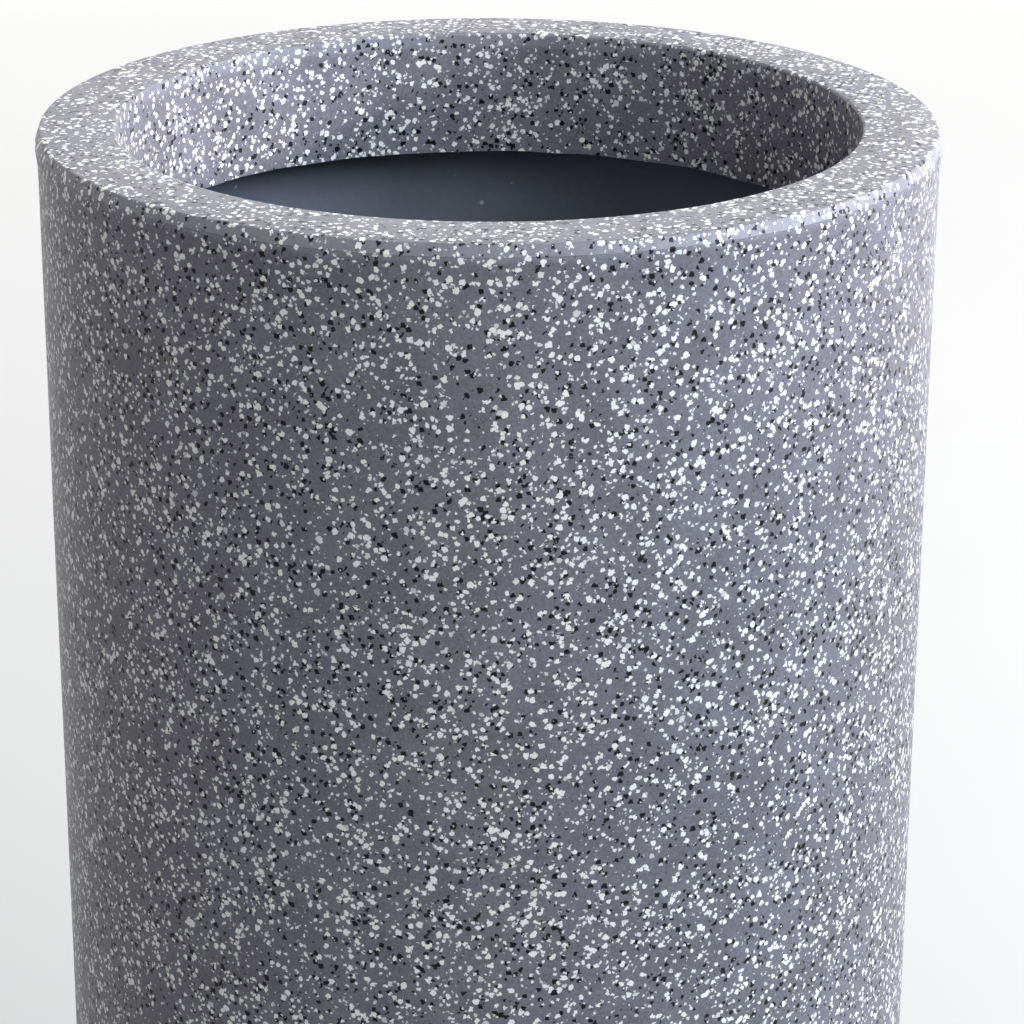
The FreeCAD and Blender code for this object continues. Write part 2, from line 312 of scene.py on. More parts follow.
def join_tools(tools):
    """Make one piece of several."""
    put_down()
    for tool in tools:
        tool.select_set(True)
    bpy.context.view_layer.objects.active = tools[0]
    bpy.ops.object.join()
    return tools[0]


def carve(piece, tool, how):
    """Apply a Boolean with the tool, and remove the tool."""
    take_up(piece)
    change = piece.modifiers.new(tool.name, "BOOLEAN")
    change.operation = how
    change.object = tool
    change.solver = "EXACT"
    bpy.ops.object.modifier_apply(modifier=change.name)
    bpy.data.objects.remove(tool)


def clean(piece):
    """Merge points that the Booleans left almost on top of each other."""
    pick(piece, "verts", lambda vert: True)
    bpy.ops.mesh.remove_doubles(threshold=merge_distance)
    put_down()


foot_places = []
for number in (1, 2, 3, 4):
    low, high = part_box(f"foot_pad_{number}")
    foot_places.append((low + high) / 2)
bosses = []
seats = []
for spot in foot_places:
    boss = add_bar("boss", boss_radius, (spot.x, spot.y, boss_bottom), (spot.x, spot.y, boss_top))
    pick(boss, "edges", lambda edge: all(abs(v.co.z - boss_top) < near for v in edge.verts))
    bpy.ops.mesh.bevel(offset=boss_edge, segments=3, affect="EDGES")
    bosses.append(boss)
    seats.append(add_bar("seat", seat_radius, (spot.x, spot.y, 0), (spot.x, spot.y, seat_top)))
carve(planter_shell, join_tools(bosses), "UNION")
carve(planter_shell, join_tools(seats), "DIFFERENCE")
clean(planter_shell)
print("Shell faces with bosses:", len(planter_shell.data.polygons))

# %% [markdown]
# ## A wall that is not quite true
#
# A hollow moulding cools from the outside in and never comes out perfectly straight: light slides
# over it in faint waves. The wall is divided into rows, and a displacement of a few tenths of a
# millimetre moves only the outer wall. The lip's lower edge was trimmed by hand, so it wavers a
# little too.

# %% Divide the wall and let it wander
wall_cuts = 70
tall = 0.5
above_base_round = 0.03


def up_the_wall(edge):
    """A test for the long upright edges of the outer wall."""
    low, high = sorted(vert.co.z for vert in edge.verts)
    return high - low > tall and all(abs(out(vert.co) - wall_radius) < near for vert in edge.verts)


pick(planter_shell, "edges", up_the_wall)
bpy.ops.mesh.subdivide(number_cuts=wall_cuts)


def waver(piece, name, wanted, size, amount, direction="NORMAL"):
    """Displace the wanted vertices with clouds of a given size."""
    count = pick(piece, "verts", wanted)
    group = piece.vertex_groups.new(name=name)
    piece.vertex_groups.active_index = group.index
    bpy.ops.object.vertex_group_assign()
    take_up(piece)
    clouds = bpy.data.textures.new(name, "CLOUDS")
    clouds.noise_scale = size
    clouds.noise_depth = 1
    change = piece.modifiers.new(name, "DISPLACE")
    change.texture = clouds
    change.texture_coords = "LOCAL"
    change.direction = direction
    change.vertex_group = name
    change.strength = amount
    change.mid_level = 0.5
    bpy.ops.object.modifier_apply(modifier=name)
    print("Wavering", count, "vertices:", name)


waver(
    planter_shell,
    "cooling_waves",
    lambda vert: out(vert.co) > wall_radius - near and above_base_round < vert.co.z < flare_bottom,
    size=0.22,
    amount=1.0 * mm,
)
waver(
    planter_shell,
    "hand_trimmed",
    lambda vert: abs(vert.co.z - lip_bottom) < near and out(vert.co) < lip_back + near,
    size=0.03,
    amount=1.2 * mm,
    direction="Z",
)

# %% [markdown]
# ## Finishes made of nodes
#
# Every finish below is procedural: noise and cell patterns that read Object coordinates, so they are
# fixed to the piece in metres and look the same from all sides. This small board adds a node, sets
# it up and wires its inputs in one line.

# %% A board for wiring finishes
tilt_axis = (1, -1, 0)
tilt_angle = math.radians(54.7)


class Finish:
    """A material under construction."""

    def __init__(self, name, roughness, specular=0.5, metallic=0.0):
        self.material = bpy.data.materials.new(name)
        self.material.use_nodes = True
        self.tree = self.material.node_tree
        self.shader = self.tree.nodes["Principled BSDF"]
        self.shader.inputs["Roughness"].default_value = roughness
        self.shader.inputs["Specular IOR Level"].default_value = specular
        self.shader.inputs["Metallic"].default_value = metallic
        self.place = self.add("ShaderNodeTexCoord").outputs["Object"]

    def add(self, kind, wires=None, **settings):
        """Add a node, set it up and wire its inputs."""
        node = self.tree.nodes.new(kind)
        for setting, value in settings.items():
            setattr(node, setting, value)
        for socket, value in (wires or {}).items():
            self.join(node.inputs[socket], value)
        return node

    def join(self, socket, value):
        """Wire a socket to another node's output, or give it a fixed value."""
        if isinstance(value, bpy.types.NodeSocket):
            self.tree.links.new(value, socket)
        else:
            socket.default_value = value

    def sum(self, how, first, second=0.0):
        """One step of arithmetic with two numbers."""
        return self.add("ShaderNodeMath", {0: first, 1: second}, operation=how).outputs[0]

    def span(self, value, low, high, to_low=0.0, to_high=1.0):
        """Stretch one range of a value over another, and hold it at both ends."""
        wires = {"Value": value, "From Min": low, "From Max": high, "To Min": to_low, "To Max": to_high}
        return self.add("ShaderNodeMapRange", wires).outputs[0]

    def noise(self, size, detail=2.0, place=None, roughness=0.5):
        """Noise with patches of about the given size in metres."""
        wires = {"Vector": place or self.place, "Scale": 1 / size, "Detail": detail, "Roughness": roughness}
        return self.add("ShaderNodeTexNoise", wires).outputs

    def blend(self, share, first, second):
        """A mix of two colours."""
        node = self.add("ShaderNodeMix", data_type="RGBA")
        for socket, value in ((0, share), (6, first), (7, second)):
            self.join(node.inputs[socket], value)
        return node.outputs[2]

    def shift(self, vector, offset):
        """Coordinates moved by an offset."""
        return self.add("ShaderNodeVectorMath", {0: vector, 1: offset}, operation="ADD").outputs[0]

    def tilt(self):
        """Turn the coordinates so that no flat or upright face lies along a pattern's grid."""
        wires = {"Vector": self.place, "Axis": tilt_axis, "Angle": tilt_angle}
        self.place = self.add("ShaderNodeVectorRotate", wires, rotation_type="AXIS_ANGLE").outputs[0]

    def height(self):
        """The height of a point above the floor."""
        return self.add("ShaderNodeSeparateXYZ", {0: self.place}).outputs[2]

    def stretch(self, shares):
        """Coordinates scaled by a share for each axis, so that patterns get longer along small ones."""
        return self.add("ShaderNodeVectorMath", {0: self.place, 1: shares}, operation="MULTIPLY").outputs[0]

    def colour(self, value):
        self.join(self.shader.inputs["Base Color"], value)

    def roughness(self, value):
        self.join(self.shader.inputs["Roughness"], value)

    def bump(self, height, depth, strength=1.0):
        wires = {"Height": height, "Distance": depth, "Strength": strength}
        node = self.add("ShaderNodeBump", wires)
        self.join(self.shader.inputs["Normal"], node.outputs[0])


print("Finish board ready")

# %% [markdown]
# ## Granite-effect plastic
#
# The maker mixes white and black chips into grey powder. On the wall they show as crumbs of one to
# three millimetres with ragged outlines, some touching, some half sunk and dimmer. A cell pattern
# gives the crumbs: each cell has one crumb, and random values of the cell say whether it is there, how
# big and how bright it is. The coordinates are stirred with noise first, so the outlines are uneven,
# and a slower noise crowds the crumbs together in some places. The black chips are hard and angular:
# their cells measure distance along the axes, which makes crumbs with flat sides. The coordinates are
# also tilted, because a wall that lies along the pattern's grid would show an upright stripe. The band
# at the rim's edge is painted a little paler: painted light from above, which that leaning band catches. The
# band
# at the rim's edge is rubbed a little paler by hands and sleeves.

# %% Granite skin
def crumbs(finish, place, cell, small, large, share, edge, measure="EUCLIDEAN"):
    """A mask of crumbs, one at most in each cell, and a random number for each crumb."""
    wires = {"Vector": place, "Scale": 1 / cell}
    cells = finish.add("ShaderNodeTexVoronoi", wires, feature="F1", distance=measure)
    chance = finish.add("ShaderNodeSeparateXYZ", {0: cells.outputs["Color"]}).outputs
    radius = finish.span(chance[1], 0, 1, small, large)
    depth = finish.sum("SUBTRACT", radius, cells.outputs["Distance"])
    shape = finish.span(depth, 0, edge)
    there = finish.sum("LESS_THAN", chance[0], share)
    return finish.sum("MULTIPLY", shape, there), chance[2]


def stir(finish, amount, size, offset):
    """Coordinates pushed about by noise of a given size, and moved so that each layer differs."""
    colour = finish.noise(size, 1.0)["Color"]
    centred = finish.shift(colour, (-0.5, -0.5, -0.5))
    push = finish.add("ShaderNodeVectorMath", {0: centred, 3: amount}, operation="SCALE").outputs[0]
    return finish.shift(finish.shift(finish.place, push), offset)


granite_grey = (0.140, 0.138, 0.165, 1)
granite_grey_dark = (0.088, 0.085, 0.099, 1)
# Paler grey for the band under the rim's flat: painted light from above, not a colour of the plastic.
granite_grey_painted_light = (0.215, 0.215, 0.250, 1)
chip_white = (0.60, 0.60, 0.585, 1)
chip_dim = (0.40, 0.40, 0.40, 1)
chip_black = (0.002, 0.002, 0.003, 1)

granite_skin = Finish("granite_skin", roughness=0.38, specular=0.16)
skin_height = granite_skin.height()
# The band between the parting line and the rim's flat is painted paler: painted light from above on its
# upward lean.
over_line = granite_skin.span(skin_height, widest_height, parting_height + 0.3 * mm)
under_flat = granite_skin.span(skin_height, rim_top - rim_round, rim_top - 0.2 * mm, 0.42, 0.0)
painted_band_light = granite_skin.sum("MULTIPLY", over_line, under_flat)
granite_skin.tilt()
mottle = granite_skin.noise(28 * mm, 3.0)["Fac"]
powder = granite_skin.noise(1.6 * mm, 3.0, roughness=0.7)["Fac"]
cloudy = granite_skin.span(mottle, 0.36, 0.64, 0.0, 0.4)
grainy = granite_skin.span(powder, 0.38, 0.62, 0.0, 0.6)
grey = granite_skin.blend(granite_skin.sum("ADD", cloudy, grainy), granite_grey_dark, granite_grey)
grey = granite_skin.blend(painted_band_light, grey, granite_grey_painted_light)
crowding = granite_skin.noise(14 * mm, 2.0)["Fac"]

white_places = stir(granite_skin, 2.1 * mm, 1.5 * mm, (0.31, 0.17, 0.23))
white_share = granite_skin.span(crowding, 0.3, 0.7, 0.36, 0.62)
white_large, white_tone = crumbs(
    granite_skin, white_places, cell=2.8 * mm, small=0.18, large=0.61, share=white_share, edge=0.10
)
fine_places = stir(granite_skin, 1.6 * mm, 1.0 * mm, (0.71, 0.53, 0.11))
fine_share = granite_skin.span(crowding, 0.3, 0.7, 0.14, 0.36)
white_fine, fine_tone = crumbs(
    granite_skin, fine_places, cell=2.0 * mm, small=0.22, large=0.54, share=fine_share, edge=0.12
)
black_places = stir(granite_skin, 1.4 * mm, 1.5 * mm, (0.13, 0.87, 0.61))
black_chips, _ = crumbs(
    granite_skin,
    black_places,
    cell=2.9 * mm,
    small=0.34,
    large=0.80,
    share=0.42,
    edge=0.10,
    measure="MANHATTAN",
)

colour = granite_skin.blend(black_chips, grey, chip_black)
fine_colour = granite_skin.blend(granite_skin.span(fine_tone, 0.0, 0.5), chip_dim, chip_white)
colour = granite_skin.blend(white_fine, colour, fine_colour)
large_colour = granite_skin.blend(granite_skin.span(white_tone, 0.0, 0.12), chip_dim, chip_white)
colour = granite_skin.blend(white_large, colour, large_colour)
granite_skin.colour(colour)
orange_peel = granite_skin.noise(2.2 * mm, 2.0)["Fac"]
granite_skin.bump(orange_peel, 0.06 * mm)
granite_skin.roughness(granite_skin.span(mottle, 0.3, 0.7, 0.34, 0.42))
print("Granite skin nodes:", len(granite_skin.tree.nodes))

# %% [markdown]
# ## The plain inside
#
# The chips stay in the first millimetres, against the mould. The inner face is plain slate grey,
# slightly uneven, with a chip showing through here and there. The lip's cut edge is scraped and dull.

# %% Inner skin and trimmed lip
slate_dark = (0.098, 0.109, 0.142, 1)
slate_light = (0.118, 0.131, 0.168, 1)
stray_grey = (0.34, 0.36, 0.40, 1)
scraped_dark = (0.07, 0.075, 0.095, 1)
scraped_light = (0.17, 0.17, 0.19, 1)

inner_skin = Finish("inner_skin", roughness=0.5)
inner_skin.tilt()
cloud = inner_skin.noise(60 * mm, 3.0)["Fac"]
slate = inner_skin.blend(inner_skin.span(cloud, 0.3, 0.7), slate_dark, slate_light)
stray_places = stir(inner_skin, 1.6 * mm, 1.3 * mm, (0.41, 0.27, 0.33))
stray_chips, _ = crumbs(inner_skin, stray_places, cell=6 * mm, small=0.12, large=0.26, share=0.07, edge=0.05)
inner_skin.colour(inner_skin.blend(stray_chips, slate, stray_grey))
inner_skin.bump(inner_skin.noise(5 * mm, 3.0)["Fac"], 0.3 * mm)
inner_skin.roughness(inner_skin.span(cloud, 0.3, 0.7, 0.44, 0.56))

trimmed_edge = Finish("trimmed_edge", roughness=0.7)
scraped = trimmed_edge.noise(1.2 * mm, 4.0)["Fac"]
trimmed_edge.colour(trimmed_edge.blend(scraped, scraped_dark, scraped_light))
trimmed_edge.bump(scraped, 0.3 * mm)
print("Inner finishes:", inner_skin.material.name, trimmed_edge.material.name)

# %% [markdown]
# ## Laying the finishes on the shell
#
# Each face shows by its place and its normal whether it touched the mould. Those that did are
# speckled: the underside, the wall, the rim and the front of the lip. The rest is plain.

# %% Lay the finishes on the shell
for finish in (granite_skin, inner_skin, trimmed_edge):
    planter_shell.data.materials.append(finish.material)


def against_mould(face):
    """Whether a face of the shell touched the mould."""
    middle = face.calc_center_median()
    radius = out(middle)
    outward = (face.normal.x * middle.x + face.normal.y * middle.y) / radius
    if middle.z < base_under + base_round and face.normal.z < -0.2:
        return True
    if radius > inner_radius + near and outward > 0.15:
        return True
    if radius < lip_back and middle.z > lip_bottom + 2 * mm and outward < -0.2:
        return True
    return face.normal.z > 0.5 and middle.z > hollow_top + near


def on_cut_edge(face):
    """Whether a face belongs to the lip's trimmed lower edge."""
    middle = face.calc_center_median()
    return face.normal.z < -0.5 and abs(middle.z - lip_bottom) < 1 * mm and out(middle) < lip_back


plain_faces = pick(planter_shell, "faces", lambda face: not against_mould(face))
planter_shell.active_material_index = 1
bpy.ops.object.material_slot_assign()
cut_faces = pick(planter_shell, "faces", on_cut_edge)
planter_shell.active_material_index = 2
bpy.ops.object.material_slot_assign()
smooth(planter_shell, degrees=30)
put_down()
print("Plain faces:", plain_faces, "cut faces:", cut_faces)

# %% [markdown]
# ## Unrolling the shell
#
# A copy of the shell with its finish painted on needs a map from surface to picture. Left to an
# automatic unwrap, the wall would be cut into many small islands and its chips would blur. So the wall,
# the rim and the lip are unrolled into one strip, as a label comes off a tin: the angle goes across
# and the length along the section goes up. The plain inside gets a narrower strip above it, and the
# small rest is unwrapped automatically and squeezed into the last part of the square.

# %% Unroll the shell
full_turn = 2 * math.pi
strip_scale = 1 / (full_turn * rim_radius)
inside_wall_length = hollow_top - base_inside + 2 * base_round
lip_back_length = inner_radius - mouth_radius + hollow_top - lip_bottom
inside_length = inside_wall_length + lip_back_length
inside_start, inside_share = 0.73, 0.12
rest_start, rest_share = 0.865, 0.13
behind_lip = (lip_back + rim_radius - shell_wall) / 2


def swing_from(home, point):
    """The turn from a home direction to a point, at most half a turn either way."""
    return (math.atan2(point.y, point.x) - home + math.pi) % full_turn - math.pi


def up_the_skin(point, on_lip):
    """The length along the outside, from the underside over the rim and down the lip."""
    radius, height = out(point), point.z - base_under
    if height < base_round:
        return height + radius - wall_radius + base_round
    if on_lip:
        height = rim_top - base_under + rim_top - point.z
    return height + rim_radius - radius + base_round


def up_the_inside(point, on_lip):
    """The length along the inside, from the floor up, through the rim's hollow and down the lip's back."""
    radius, height = out(point), point.z - base_inside
    if point.z < flare_bottom - near and not on_lip:
        return height + radius - inner_radius + base_round
    if on_lip:
        height = hollow_top - base_inside + hollow_top - point.z
    return height + inner_radius - radius + base_round


def is_small_rest(face):
    """Whether a face is one of the small ones by the drain, the bosses or the flat of the base."""
    on_base = abs(face.normal.z) > 0.99 and face.center.z < base_inside + 1 * mm
    return on_base or out(face.center) < mouth_radius - 0.3 * mm


unrolled = planter_shell.data.uv_layers.new(name="OFBake")
rest = set()
for face in planter_shell.data.polygons:
    if is_small_rest(face):
        rest.add(face.index)
        continue
    middle = face.center
    plain = face.material_index > 0
    on_lip = middle.z > flare_bottom - 40 * mm and out(middle) < behind_lip
    home = math.atan2(middle.y, middle.x)
    for corner in face.loop_indices:
        point = planter_shell.data.vertices[planter_shell.data.loops[corner].vertex_index].co
        across = (home + swing_from(home, point)) / full_turn + 0.5
        if plain:
            along = inside_start + inside_share * up_the_inside(point, on_lip) / inside_length
        else:
            along = up_the_skin(point, on_lip) * strip_scale
        unrolled.uv[corner].vector = (across, along)
planter_shell.data.uv_layers.active = unrolled
pick(planter_shell, "faces", lambda face: face.index in rest)
bpy.ops.uv.smart_project(angle_limit=1.15, island_margin=0.01)
put_down()
unrolled = planter_shell.data.uv_layers["OFBake"]
for index in rest:
    for corner in planter_shell.data.polygons[index].loop_indices:
        across, along = unrolled.uv[corner].vector
        unrolled.uv[corner].vector = (across, rest_start + rest_share * along)
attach(planter_shell, "shell")
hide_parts("shell")
print("Shell triangles:", triangles(planter_shell), "small faces:", len(rest))

# %% [markdown]
# ## The inner pot
#
# The pot that holds the plant is a plain injection moulding: a tapered wall, a flat rim with a short
# skirt turned down outside, a foot ring, and holes in the floor. It is turned from a section too. Its
# edges get small rounds, since a mould for such a pot is cut with round tools.

# %% Turn the inner pot
pot_low, pot_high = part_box("inner_pot")
pot_rim = pot_high.x
pot_bottom = pot_low.z
pot_top = pot_high.z - 12.4 * mm
pot_skin = 3 * mm
pot_floor_under = pot_bottom + 3 * mm
pot_floor = pot_floor_under + 4 * mm
pot_wall = pot_rim - 9 * mm
pot_foot = pot_wall - 9 * mm
pot_foot_inside = pot_foot - 7 * mm
pot_rim_under = pot_top - 4 * mm
pot_skirt_inside = pot_rim - 2.5 * mm
pot_skirt_bottom = pot_top - 14 * mm
pot_hole = 6 * mm
pot_segments = 192
pot_section = [
    (pot_hole, pot_floor_under),
    (pot_foot_inside, pot_floor_under),
    (pot_foot_inside, pot_bottom),
    (pot_foot, pot_bottom),
    (pot_wall, pot_rim_under),
    (pot_skirt_inside, pot_rim_under),
    (pot_skirt_inside, pot_skirt_bottom),
    (pot_rim, pot_skirt_bottom),
    (pot_rim, pot_top),
    (pot_wall - pot_skin, pot_top),
    (pot_foot - pot_skin, pot_floor),
    (pot_hole, pot_floor),
]
inner_pot = turn_section("pot_moulding", pot_section, pot_segments)
round_corners(
    inner_pot,
    [
        (pot_foot_inside, pot_bottom, 0.8 * mm, 2),
        (pot_foot, pot_bottom, 4 * mm, 5),
        (pot_wall, pot_rim_under, 1.5 * mm, 3),
        (pot_skirt_inside, pot_skirt_bottom, 0.6 * mm, 2),
        (pot_rim, pot_skirt_bottom, 0.8 * mm, 2),
        (pot_rim, pot_top, 1.6 * mm, 4),
        (pot_wall - pot_skin, pot_top, 2 * mm, 4),
        (pot_foot - pot_skin, pot_floor, 4 * mm, 5),
    ],
)

# %% [markdown]
# ## Holes and ears
#
# Water leaves through nine holes. Two ears stand on the rim, left and right, and carry the pins on
# which the handles swing. An ear starts as a cube, gets two large rounds and small ones elsewhere, is
# trimmed to the rim's curve, and is joined on before its two pin holes are drilled.

# %% Drill the floor and add the ears
hole_ring = 0.66 * pot_foot
ring_holes = 8
holes = []
for number in range(ring_holes):
    turn = number * full_turn / ring_holes
    spot = (hole_ring * math.cos(turn), hole_ring * math.sin(turn))
    holes.append(add_bar("hole", pot_hole, (*spot, pot_bottom), (*spot, pot_floor + 2 * mm), 32))
carve(inner_pot, join_tools(holes), "DIFFERENCE")

pin_reach = 14 * mm
pin_hole_radius = 2.55 * mm
ear_round = 6 * mm
ear_edge = 0.6 * mm
pin_height = pot_high.z - ear_round
ear_inside = math.sqrt(pot_rim**2 - pin_reach**2) - 5 * mm
ear_low = pot_top - 2 * mm


def across_the_top(edge):
    """A test for an ear's two top edges that run across the rim."""
    start, end = (vert.co for vert in edge.verts)
    return min(start.z, end.z) > pot_high.z - near and abs(start.y - end.y) < near


for side in (1, -1):
    put_down()
    bpy.ops.mesh.primitive_cube_add(
        size=1,
        location=(side * (ear_inside + pot_rim) / 2, 0, (ear_low + pot_high.z) / 2),
        scale=(pot_rim - ear_inside, 2 * (pin_reach + ear_round), pot_high.z - ear_low),
    )
    ear = bpy.context.object
    ear.name = "ear"
    bpy.ops.object.transform_apply(location=True, rotation=True, scale=True)
    pick(ear, "edges", across_the_top)
    bpy.ops.mesh.bevel(offset=ear_round, segments=6, affect="EDGES")
    rim_curve = add_bar("rim_curve", pot_rim - 0.3 * mm, (0, 0, pot_bottom), (0, 0, rim_top), pot_segments)
    carve(ear, rim_curve, "INTERSECT")
    pick(ear, "edges", lambda edge: len(edge.link_faces) == 2 and edge.calc_face_angle() > 0.6)
    bpy.ops.mesh.bevel(offset=ear_edge, segments=2, affect="EDGES")
    carve(inner_pot, ear, "UNION")
drills = []
for across in (pin_reach, -pin_reach):
    start, end = (-rim_radius, across, pin_height), (rim_radius, across, pin_height)
    drills.append(add_bar("drill", pin_hole_radius, start, end, 32))
carve(inner_pot, join_tools(drills), "DIFFERENCE")
clean(inner_pot)
smooth(inner_pot, degrees=30)
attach(inner_pot, "inner_pot")
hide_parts("inner_pot")
print("Pot triangles:", triangles(inner_pot))

# %% [markdown]
# ## The grips
#
# Each handle is a wire hoop with a ribbed plastic sleeve in its middle, where the hand goes. A circle
# is spun round the planter's axis along the hoop, which gives a bent tube of many rings. Every third
# and fourth ring is then drawn in, so ribs stand between them, and a Solidify modifier gives the
# sleeve its wall.

# %% Spin the ribbed grips
grip_low, grip_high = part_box("handle_grip_front")
grip_radius = (grip_high.z - grip_low.z) / 2
hoop_height = (grip_high.z + grip_low.z) / 2
hoop_radius = -grip_low.y - grip_radius
grip_half_length = 50 * mm
grip_half_turn = grip_half_length / hoop_radius
grip_rings = 76
groove_share = 0.88
end_share = 0.85
grip_wall = 2 * mm


def ring_number(point, middle_turn):
    """Which ring of a grip a point is on, counted from one end."""
    swing = swing_from(middle_turn, point)
    return round((swing + grip_half_turn) / (2 * grip_half_turn) * grip_rings)


def make_grip(name, middle_turn):
    """A ribbed sleeve along the hoop, with its middle at the given turn."""
    put_down()
    start = middle_turn - grip_half_turn
    bpy.ops.mesh.primitive_circle_add(
        vertices=32,
        radius=grip_radius,
        location=(hoop_radius * math.cos(start), hoop_radius * math.sin(start), hoop_height),
        rotation=(math.pi / 2, 0, start),
    )
    grip = bpy.context.object
    grip.name = name
    grip.data.name = name
    bpy.ops.object.transform_apply(location=True, rotation=True, scale=True)
    bpy.ops.object.mode_set(mode="EDIT")
    bpy.ops.mesh.select_all(action="SELECT")
    bpy.ops.mesh.spin(steps=grip_rings, angle=2 * grip_half_turn, center=(0, 0, 0), axis=(0, 0, 1))
    for ring in range(grip_rings + 1):
        at_end = ring in (0, grip_rings)
        if not at_end and (ring % 4 < 2 or ring < 4 or ring > grip_rings - 4):
            continue
        pick(grip, "verts", lambda vert: ring_number(vert.co, middle_turn) == ring)
        turn = start + 2 * grip_half_turn * ring / grip_rings
        share = end_share if at_end else groove_share
        centre = (hoop_radius * math.cos(turn), hoop_radius * math.sin(turn), hoop_height)
        bpy.ops.transform.resize(value=(share, share, share), center_override=centre)
    bpy.ops.mesh.select_all(action="SELECT")
    bpy.ops.mesh.normals_make_consistent(inside=False)
    take_up(grip)
    wall = grip.modifiers.new("wall", "SOLIDIFY")
    wall.thickness = grip_wall
    wall.offset = -1
    bpy.ops.object.modifier_apply(modifier="wall")
    smooth(grip, degrees=35)
    return grip


grip_front = make_grip("ribbed_grip_front", -math.pi / 2)
grip_back = make_grip("ribbed_grip_back", math.pi / 2)
for grip, handle in ((grip_front, "front"), (grip_back, "back")):
    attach(grip, f"handle_{handle}")
    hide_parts(f"handle_grip_{handle}")
    print(grip.name, [round(side / mm, 1) for side in grip.dimensions], "mm")

# %% [markdown]
# ## Plain moulded plastics
#
# The pot, the grips, the shelf and the drain plug are ordinary moulded plastics. What tells them from
# flat paint is small: faint clouds in the colour, a fine grain from the etched mould, and pale scuffs
# where they have rubbed. One recipe makes them all, with its own colours, grain and gloss for each.

# %% Moulded plastics
def moulded_plastic(name, dark, light, roughness, grain):
    """Plastic with faint clouds, grain of a given size and a few pale scuffs."""
    finish = Finish(name, roughness)
    cloud = finish.noise(35 * mm, 3.0)["Fac"]
    body = finish.blend(finish.span(cloud, 0.3, 0.7), (*dark, 1), (*light, 1))
    rubbing = finish.noise(7 * mm, 6.0, finish.stretch((1.0, 0.4, 0.15)), 0.7)["Fac"]
    scuff = finish.span(rubbing, 0.62, 0.75, 0.0, 0.35)
    pale = tuple(part + 0.06 for part in light)
    finish.colour(finish.blend(scuff, body, (*pale, 1)))
    dull = finish.span(cloud, 0.3, 0.7, roughness - 0.05, roughness + 0.05)
    finish.roughness(finish.sum("ADD", dull, scuff))
    finish.bump(finish.noise(grain, 2.0)["Fac"], 0.1 * grain)
    return finish


def dress(finish, *names):
    """Give measured pieces a finish."""
    for name in names:
        for place in nodes[name].material_slots:
            place.material = finish.material
    print(finish.material.name, "on", len(names), "pieces")


charcoal_plastic = moulded_plastic(
    "charcoal_plastic",
    dark=(0.026, 0.028, 0.033),
    light=(0.036, 0.038, 0.043),
    roughness=0.46,
    grain=0.9 * mm,
)
inner_pot.data.materials.append(charcoal_plastic.material)
satin_plastic = moulded_plastic(
    "satin_plastic",
    dark=(0.014, 0.014, 0.015),
    light=(0.022, 0.022, 0.023),
    roughness=0.40,
    grain=0.5 * mm,
)
for grip in (grip_front, grip_back):
    grip.data.materials.append(satin_plastic.material)
slate_plastic = moulded_plastic(
    "slate_plastic",
    dark=(0.050, 0.053, 0.058),
    light=(0.066, 0.069, 0.074),
    roughness=0.50,
    grain=1.1 * mm,
)
dress(slate_plastic, "stand_shelf")
black_plastic = moulded_plastic(
    "black_plastic",
    dark=(0.018, 0.018, 0.020),
    light=(0.027, 0.027, 0.029),
    roughness=0.42,
    grain=0.6 * mm,
)
dress(black_plastic, "drain_plug")

# %% [markdown]
# ## Pipe legs and rubber
#
# The stand's legs are lengths of extruded grey pipe: the die leaves faint streaks along the pipe, and
# handling leaves short marks across it. The feet, the leg caps and the seal are black rubber, dull and
# finely pitted, with dust where they stand on the floor.

# %% Pipe and rubber
pipe_dark = (0.210, 0.216, 0.222, 1)
pipe_light = (0.262, 0.268, 0.274, 1)
pipe_marked = (0.14, 0.14, 0.14, 1)
rubber_black = (0.012, 0.012, 0.013, 1)
rubber_bloomed = (0.026, 0.026, 0.027, 1)
floor_dust = (0.16, 0.155, 0.145, 1)

extruded_pipe = Finish("extruded_pipe", roughness=0.42)
streaks = extruded_pipe.noise(3 * mm, 3.0, extruded_pipe.stretch((1.0, 1.0, 0.02)))["Fac"]
pipe_grey = extruded_pipe.blend(extruded_pipe.span(streaks, 0.3, 0.7), pipe_dark, pipe_light)
marks = extruded_pipe.noise(9 * mm, 5.0, extruded_pipe.stretch((0.3, 0.3, 1.6)), 0.7)["Fac"]
mark = extruded_pipe.span(marks, 0.63, 0.74, 0.0, 0.4)
extruded_pipe.colour(extruded_pipe.blend(mark, pipe_grey, pipe_marked))
extruded_pipe.roughness(extruded_pipe.span(streaks, 0.3, 0.7, 0.36, 0.48))
extruded_pipe.bump(streaks, 0.08 * mm)
dress(extruded_pipe, *[f"stand_leg_{number}" for number in (1, 2, 3, 4)])

dusty_rubber = Finish("dusty_rubber", roughness=0.72)
pits = dusty_rubber.noise(0.8 * mm, 3.0)["Fac"]
bloom = dusty_rubber.noise(14 * mm, 4.0)["Fac"]
black = dusty_rubber.blend(dusty_rubber.span(bloom, 0.35, 0.7), rubber_black, rubber_bloomed)
near_floor = dusty_rubber.span(dusty_rubber.height(), 0, 4 * mm, 0.5, 0.0)
dust = dusty_rubber.sum("MULTIPLY", near_floor, dusty_rubber.span(bloom, 0.4, 0.6))
dusty_rubber.colour(dusty_rubber.blend(dust, black, floor_dust))
dusty_rubber.roughness(dusty_rubber.span(bloom, 0.3, 0.7, 0.64, 0.80))
dusty_rubber.bump(pits, 0.12 * mm)
rubber_pieces = [f"{kind}_{number}" for kind in ("foot_pad", "stand_leg_cap") for number in (1, 2, 3, 4)]
dress(dusty_rubber, "drain_seal", *rubber_pieces)

